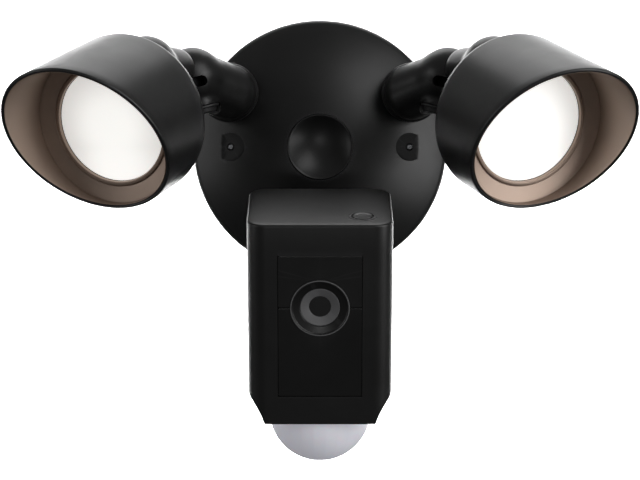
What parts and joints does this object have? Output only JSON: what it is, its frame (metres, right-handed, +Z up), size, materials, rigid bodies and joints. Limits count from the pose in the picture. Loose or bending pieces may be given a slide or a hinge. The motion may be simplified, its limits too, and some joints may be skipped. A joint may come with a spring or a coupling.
{
  "type": "floodlight security camera",
  "caption": "Round wall canopy with swivelling can-shaped floodlights above and, on a ball joint below, a camera with a lens, a front panel, a domed motion sensor and a setup button.",
  "frame": {"origin": "centre of the round canopy on the wall plane", "axes": "+X to the right seen from the front, -Y out of the wall towards the viewer, +Z up"},
  "size_m": [0.291, 0.1701, 0.22],
  "materials": {
    "black_shell": "satin moulded ABS",
    "black_front": "smooth moulded acrylic and ABS",
    "seal_rubber": "matte silicone",
    "zinc_steel": "zinc plated",
    "dark_grip": "moulded nylon",
    "lens_grey": "satin painted",
    "cast_metal": "die cast, painted",
    "white_plastic": "moulded",
    "diffuser_white": "opal polycarbonate",
    "bronze_paint": "satin warm grey",
    "board_green": "solder mask",
    "spreader_alloy": "pressed",
    "lens_clear": "polished",
    "dome_smoke": "translucent polyethylene"
  },
  "bodies": {
    "mount": {"canopy": "black_shell", "wall_gasket": "seal_rubber", "mounting_bracket": "zinc_steel", "canopy_screws": "zinc_steel", "centre_cap": "black_shell", "led_driver": "board_green", "terminal_block": "white_plastic", "cable_gland": "seal_rubber", "ball_socket": "black_shell", "socket_collar": "dark_grip"},
    "swivel_arm_left": {"arm_left": "black_shell", "arm_seal_left": "seal_rubber", "arm_nut_left": "zinc_steel", "knuckle_pin_left": "zinc_steel", "knuckle_nut_left": "dark_grip"},
    "light_left": {"hood_left": "black_shell", "light_back_left": "black_shell", "glare_ring_left": "bronze_paint", "lens_seal_left": "white_plastic", "diffuser_left": "diffuser_white", "reflector_left": "white_plastic", "led_board_left": "board_green", "heat_spreader_left": "spreader_alloy"},
    "swivel_arm_right": {"arm_right": "black_shell", "arm_seal_right": "seal_rubber", "arm_nut_right": "zinc_steel", "knuckle_pin_right": "zinc_steel", "knuckle_nut_right": "dark_grip"},
    "light_right": {"hood_right": "black_shell", "light_back_right": "black_shell", "glare_ring_right": "bronze_paint", "lens_seal_right": "white_plastic", "diffuser_right": "diffuser_white", "reflector_right": "white_plastic", "led_board_right": "board_green", "heat_spreader_right": "spreader_alloy"},
    "ball_carrier": {"ball_liner": "white_plastic"},
    "camera": {"ball_stud": "cast_metal", "camera_housing": "black_shell", "camera_back": "black_shell", "camera_screws": "zinc_steel", "window_panel": "black_front", "speaker_panel": "black_front", "lens_ring": "lens_grey", "lens_barrel": "dark_grip", "lens_glass": "lens_clear", "camera_board": "board_green", "main_board": "board_green", "speaker": "dark_grip", "sensor_dome": "dome_smoke", "dome_ring": "dark_grip", "motion_sensor": "zinc_steel", "button_surround": "lens_grey"},
    "button": {"setup_button": "black_shell"}
  },
  "joints": [
    {"name": "left_arm_swivel", "type": "hinge", "parent": "mount", "child": "swivel_arm_left", "pos_m": [-0.0464, -0.024, 0.0276], "axis": [0, 1, 0], "range_deg": [-28, 60]},
    {"name": "left_light_tilt", "type": "hinge", "parent": "swivel_arm_left", "child": "light_left", "pos_m": [-0.0634, -0.05, 0.0346], "axis": [-0.2588, 0, 0.9659], "range_deg": [-32, 30]},
    {"name": "right_arm_swivel", "type": "hinge", "parent": "mount", "child": "swivel_arm_right", "pos_m": [0.0464, -0.024, 0.0276], "axis": [0, 1, 0], "range_deg": [-60, 28]},
    {"name": "right_light_tilt", "type": "hinge", "parent": "swivel_arm_right", "child": "light_right", "pos_m": [0.0634, -0.05, 0.0346], "axis": [0.2588, 0, 0.9659], "range_deg": [-30, 32]},
    {"name": "camera_pan", "type": "hinge", "parent": "mount", "child": "ball_carrier", "pos_m": [0, -0.04, -0.046], "axis": [0, 0, 1], "range_deg": [-12, 12]},
    {"name": "camera_tilt", "type": "hinge", "parent": "ball_carrier", "child": "camera", "pos_m": [0, -0.04, -0.046], "axis": [1, 0, 0], "range_deg": [-14, 9]},
    {"name": "setup_button_press", "type": "slide", "parent": "camera", "child": "button", "axis": [0, 0.294, -0.9558], "range_m": [0, 0.0008], "stiffness_N_per_m": 300, "springref_m": -0.001}
  ]
}
